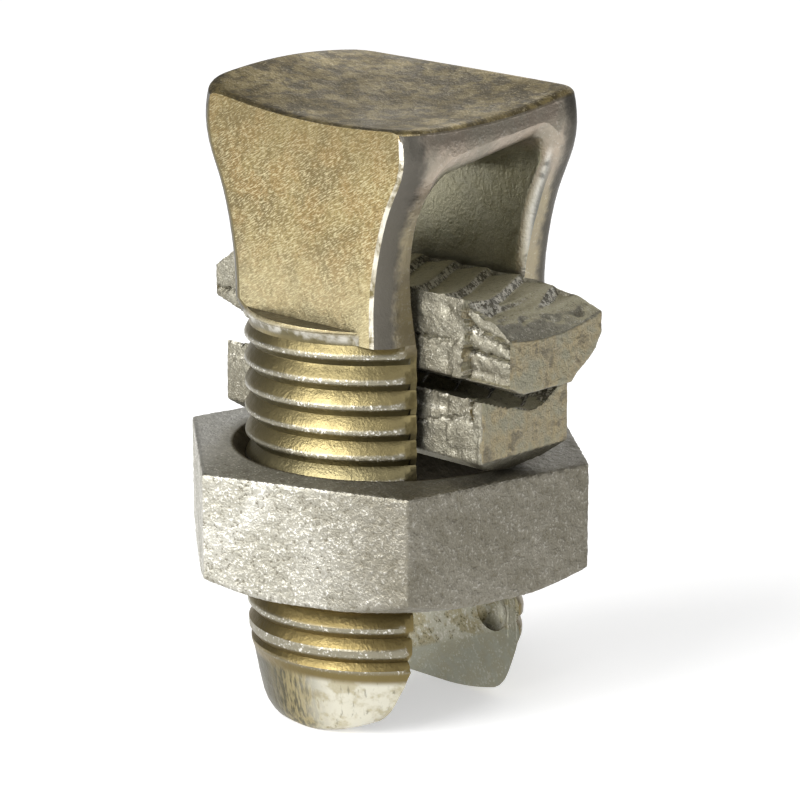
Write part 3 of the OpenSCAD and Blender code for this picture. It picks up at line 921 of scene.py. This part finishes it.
def spacer_tear(place):
    """How far the spacer bar's near side stands out or in where the shears tore it."""
    x, z = ragged(place)
    right = step(x, 8.72, 0.1)
    ledge = right * -0.5
    strip = step(x, 7.95, 0.15) * (1 - right) * step(21.15, z, 0.15) * 0.2
    seam = crack(z, 21.05, 0.08) * step(8.1, x, 0.3) * -0.26
    slabs = right * step(22.0, z, 0.2) * (0.2 - 0.5 * (np.mod(z - 19.72, 1.1) - 0.55) ** 2)
    joint = right * (crack(z, 20.82, 0.07) * -0.3 + crack(z, 22.08, 0.1) * -0.3)
    worn_end = step(x, 11.25, 0.4) * -0.22
    return ledge + strip + seam + slabs + joint + worn_end


# Heights of the nose's near and far edges and depth of its hollow, each by places along X
nose_near = [8.6, 9.2, 10.6, 11.5], [23.4, 22.75, 22.35, 21.7]
nose_far = [7.0, 10.0, 11.5], [23.05, 22.62, 22.1]
nose_hollow = [8.5, 11.5], [0, 0.42]
nose_foot_z, spacer_top_z = 20.2, 20.5
# Where the teeth end towards the nose, and over what length they fade
teeth_end_x, teeth_fade_l = 10.2, 0.8
# Pits in the nose, each a place along X, one across and half its length
pit_half_w, pit_depth = 0.13, 0.2
nose_pits = [
    (10.25, -2.3, 0.45), (10.5, -1.1, 0.3), (9.75, -1.7, 0.25), (10.75, 0.7, 0.4), (10.95, 2.3, 0.35),
]


def nose_top(x, y):
    """Height of the spacer bar's top, which slopes down to a hollow edge at its nose."""
    near_z, far_z = np.interp(x, *nose_near), np.interp(x, *nose_far)
    hollow = np.interp(x, *nose_hollow) * (1 - (y / spacer_half_w) ** 2)
    return near_z + (far_z - near_z) * np.clip((y + spacer_half_w) / (2 * spacer_half_w), 0, 1) - hollow


def spacer_shape(place, normal):
    """Slopes the spacer bar's nose, cuts its teeth and pits and tears its near side."""
    x, y, z = place.T
    full_z = np.interp(y, *zip(*spacer_section[1:6]))
    share = np.clip((z - nose_foot_z) / (full_z - nose_foot_z), 0, None)
    z = z - share * np.maximum(full_z - nose_top(x, y), 0)
    above = z > spacer_top_z
    top = facing_share(normal[:, 2]) * above * np.clip((teeth_end_x - x) / teeth_fade_l, 0, 1)
    near = facing_share(-normal[:, 1])
    lift = top * (teeth(place, 0) - tooth_depth)
    for pit_x, pit_y, pit_l in nose_pits:
        far = ((x - pit_x + 0.15 * np.sin(5 * y)) / pit_half_w) ** 2 + ((y - pit_y) / pit_l) ** 2
        lift = lift - (normal[:, 2] > 0.5) * above * pit_depth * np.exp(-far)
    out = knobs(place, spacer_marks) + spacer_tear(place)
    return np.column_stack((x, y - near * out, z + lift))


reshape(spacer_bar, spacer_shape)
roughen(spacer_bar)
clean_and_shade(spacer_bar, angle=50, merge=bar_weld)
to_metres(spacer_bar)

# The bars' finish: grey and pitted, golden on the ends, with painted light on top, and painted shade and
# painted glints on the steep sides of the teeth
bar_tin = bpy.data.materials.new("bar_tin_finish")
tree, shader, places, (face_x, face_y, face_z) = start_material(bar_tin)
surface = grain(tree, places, size=11000.0, blotch=420.0)
striae = stretched(tree, places, (4200.0, 4200.0, 600.0))
cloudy = stretched(tree, places, (900.0, 900.0, 900.0))
bar_silver, bar_olive, bar_glint_white = (0.27, 0.255, 0.20, 1), (0.27, 0.255, 0.18, 1), (0.66, 0.635, 0.55, 1)
bar_gold, bar_pit_and_shade, bar_grey = (0.33, 0.275, 0.165, 1), (0.10, 0.09, 0.07, 1), (0.20, 0.185, 0.14, 1)
bar_lit_top = (0.44, 0.41, 0.29, 1)
base = mix_colour(tree, surface["Tarnish"], bar_silver, bar_grey)
bar_place = put(tree, "SeparateXYZ", {0: places}).outputs
on_end = ramp(tree, math_node(tree, "ABSOLUTE", face_x), 0.75, 0.9)
end = mix_colour(tree, ramp(tree, cloudy, 0.40, 0.62), bar_gold, bar_olive)
end = mix_colour(tree, both(tree, ramp(tree, striae, 0.38, 0.62), 0.35), end, bar_silver)
end = mix_colour(tree, both(tree, ramp(tree, cloudy, 0.44, 0.34), 0.6), end, bar_pit_and_shade)
base = mix_colour(tree, on_end, base, end)
# Painted light: the bars' upward faces are lighter
base = mix_colour(tree, ramp(tree, face_z, 0.82, 0.94), base, bar_lit_top)
between = ramp(tree, math_node(tree, "ABSOLUTE", bar_place["Y"]), 0.0032, 0.0029)
on_teeth = both(tree, between, ramp(tree, bar_place["X"], 0.0102, 0.0094))
# Painted shade and painted glints on the steep sides of the teeth
steep = both(tree, both(tree, ramp(tree, face_z, 0.30, 0.45), ramp(tree, face_z, 0.92, 0.82)), on_teeth)
base = mix_colour(tree, both(tree, steep, 0.5), base, bar_pit_and_shade)
base = mix_colour(tree, both(tree, steep, ramp(tree, surface["Height"], 1.12, 1.32)), base, bar_glint_white)
rough_face = scaled(tree, on_end, -0.7, 1.0)
# Bare grains painted as glints, fewer on the ends
base = mix_colour(tree, both(tree, both(tree, surface["Sparkle"], rough_face), 0.55), base, bar_glint_white)
base = mix_colour(tree, both(tree, both(tree, surface["Pits"], rough_face), 0.7), base, bar_pit_and_shade)
tree.links.new(base, shader.inputs["Base Color"])
on_side = ramp(tree, math_node(tree, "ABSOLUTE", face_y), 0.5, 0.8)
torn_here = math_node(tree, "MAXIMUM", on_side, ramp(tree, face_z, 0.5, 0.9))
tree.links.new(scaled(tree, torn_here, 0.16, 0.40), shader.inputs["Roughness"])
add_relief(tree, shader, 0.5, 0.0001, surface["Height"])
for bar, body, node in ((press_bar, "pressure", "pressure_bar"), (spacer_bar, "spacer", "spacer_bar")):
    bar.data.materials.clear()
    bar.data.materials.append(bar_tin)
    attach(bar, body)
    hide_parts(node)


# Stage
# A plain pale floor, a large soft key lamp in front, weaker soft lamps behind, above and at the right,
# a dim even surround, and the camera at the photograph's angle.
begin()
bpy.ops.mesh.primitive_plane_add(size=4, location=(0, 0, 0))
floor = bpy.context.object
floor.name = floor.data.name = "floor"
paper = bpy.data.materials.new("floor_paper")
paper.use_nodes = True
tree = paper.node_tree
tree.nodes.clear()
rays = put(tree, "LightPath")
seen = math_node(tree, "MAXIMUM", rays.outputs["Is Camera Ray"], rays.outputs["Is Glossy Ray"])
seen = math_node(tree, "MAXIMUM", seen, rays.outputs["Is Transmission Ray"])
dull = put(tree, "BsdfDiffuse", {"Color": (0.8, 0.8, 0.8, 1)})
glow = put(tree, "Emission", {"Color": (1, 1, 1, 1), "Strength": math_node(tree, "MULTIPLY", seen, 0.45)})
lit = put(tree, "AddShader", {0: dull.outputs[0], 1: glow.outputs[0]})
put(tree, "OutputMaterial", {"Surface": lit.outputs[0]})
floor.data.materials.append(paper)

connector_middle = Vector((0, 0, 0.016))


def lamp(name, azimuth, elevation, distance, size, power):
    """A soft lamp that looks at the middle of the connector. Azimuth 0 is in front, as for the camera."""
    data = bpy.data.lights.new(name, "AREA")
    data.shape = "RECTANGLE"
    data.size, data.size_y = size
    data.energy = power
    made = bpy.data.objects.new(name, data)
    bpy.context.scene.collection.objects.link(made)
    a, e = math.radians(azimuth), math.radians(elevation)
    away = Vector((math.sin(a) * math.cos(e), -math.cos(a) * math.cos(e), math.sin(e)))
    made.location = connector_middle + away * distance
    made.rotation_euler = (-away).to_track_quat("-Z", "Y").to_euler()


# Azimuth and elevation in degrees, distance and sizes in metres, and power in watts
lamp("key_lamp", -8, 26, 0.45, (0.38, 0.32), 3.4)
lamp("back_lamp", -158, 24, 0.6, (0.5, 0.3), 0.5)
lamp("top_lamp", 74, 60, 0.5, (0.35, 0.35), 0.7)
lamp("fill_lamp", 78, 24, 0.5, (0.3, 0.3), 0.45)

world = bpy.data.worlds.new("studio")
world.use_nodes = True
world.node_tree.nodes["Background"].inputs["Color"].default_value = (0.21, 0.21, 0.21, 1)
bpy.context.scene.world = world

view_azimuth, view_elevation = math.radians(44.87), math.radians(15.42)
eye_distance = 0.1776
aim_right, aim_up = 0.000723, 0.001983
right = Vector((math.cos(view_azimuth), math.sin(view_azimuth), 0))
back = Vector((math.sin(view_azimuth) * math.cos(view_elevation),
               -math.cos(view_azimuth) * math.cos(view_elevation), math.sin(view_elevation)))
view_up = back.cross(right)
view_centre = Vector((0, 0, 0.014))
camera_data = bpy.data.cameras.new("camera")
camera_data.sensor_width = 36
camera_data.lens = 157
camera_data.clip_start, camera_data.clip_end = 0.005, 20
camera = bpy.data.objects.new("camera", camera_data)
bpy.context.scene.collection.objects.link(camera)
camera.location = view_centre + back * eye_distance
aim = view_centre + right * aim_right + view_up * aim_up
camera.rotation_euler = (aim - camera.location).to_track_quat("-Z", "Y").to_euler()
bpy.context.scene.camera = camera
bpy.context.scene.view_settings.view_transform = "Standard"
